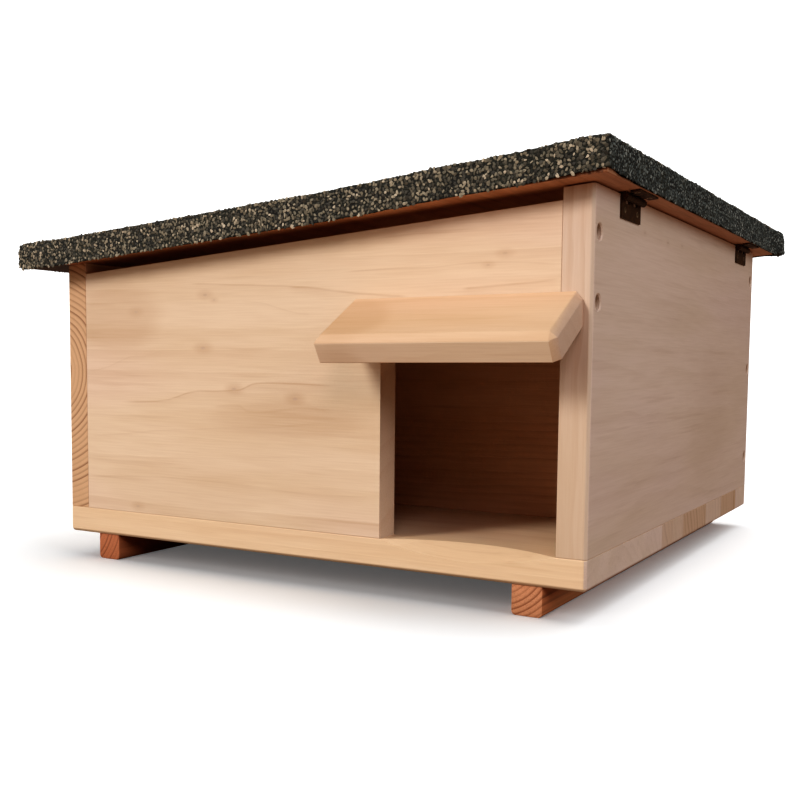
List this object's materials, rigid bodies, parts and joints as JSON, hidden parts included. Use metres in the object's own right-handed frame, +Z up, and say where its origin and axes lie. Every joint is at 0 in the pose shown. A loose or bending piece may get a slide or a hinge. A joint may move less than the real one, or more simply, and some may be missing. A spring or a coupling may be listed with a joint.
{
  "type": "hedgehog house",
  "caption": "Wooden hedgehog house on battens, with a porch over its low entrance, an inner partition and a sloped, felted roof that lifts on side hinges.",
  "frame": {"origin": "on the ground, below the middle of the whole house's outline", "axes": "+X towards the hinge side, +Y from the front to the rear, +Z up"},
  "size_m": [0.4836, 0.5468, 0.2885],
  "materials": {
    "light_board": "planed, unvarnished",
    "honey_board": "planed, unvarnished",
    "reddish_batten": "planed, unvarnished",
    "brown_board": "planed, unvarnished",
    "gritted_felt": "bitumen felt with coarse mineral grit",
    "dark_bronze": "dark bronzed, satin",
    "zinc_screw": "zinc plated"
  },
  "bodies": {
    "house": {"base_plate": "honey_board", "left_batten": "reddish_batten", "right_batten": "reddish_batten", "left_wall": "light_board", "right_wall": "light_board", "front_panel": "light_board", "back_panel": "light_board", "partition_wall": "light_board", "porch_canopy": "honey_board", "front_hinge_wall_leaf": "dark_bronze", "rear_hinge_wall_leaf": "dark_bronze", "front_hinge_pin": "dark_bronze", "rear_hinge_pin": "dark_bronze", "hinge_wall_screws": "dark_bronze", "right_wall_screws": "zinc_screw", "left_wall_screws": "zinc_screw", "floor_screws": "zinc_screw", "partition_screws": "zinc_screw", "batten_screws": "zinc_screw", "porch_screws": "zinc_screw"},
    "roof": {"roof_board": "brown_board", "roof_felt": "gritted_felt", "front_hinge_roof_leaf": "dark_bronze", "rear_hinge_roof_leaf": "dark_bronze", "hinge_roof_screws": "dark_bronze"}
  },
  "joints": [
    {"name": "roof_hinge", "type": "hinge", "parent": "house", "child": "roof", "pos_m": [0.229, 0, 0.26446], "axis": [0, 1, 0], "range_deg": [0, 105]}
  ]
}
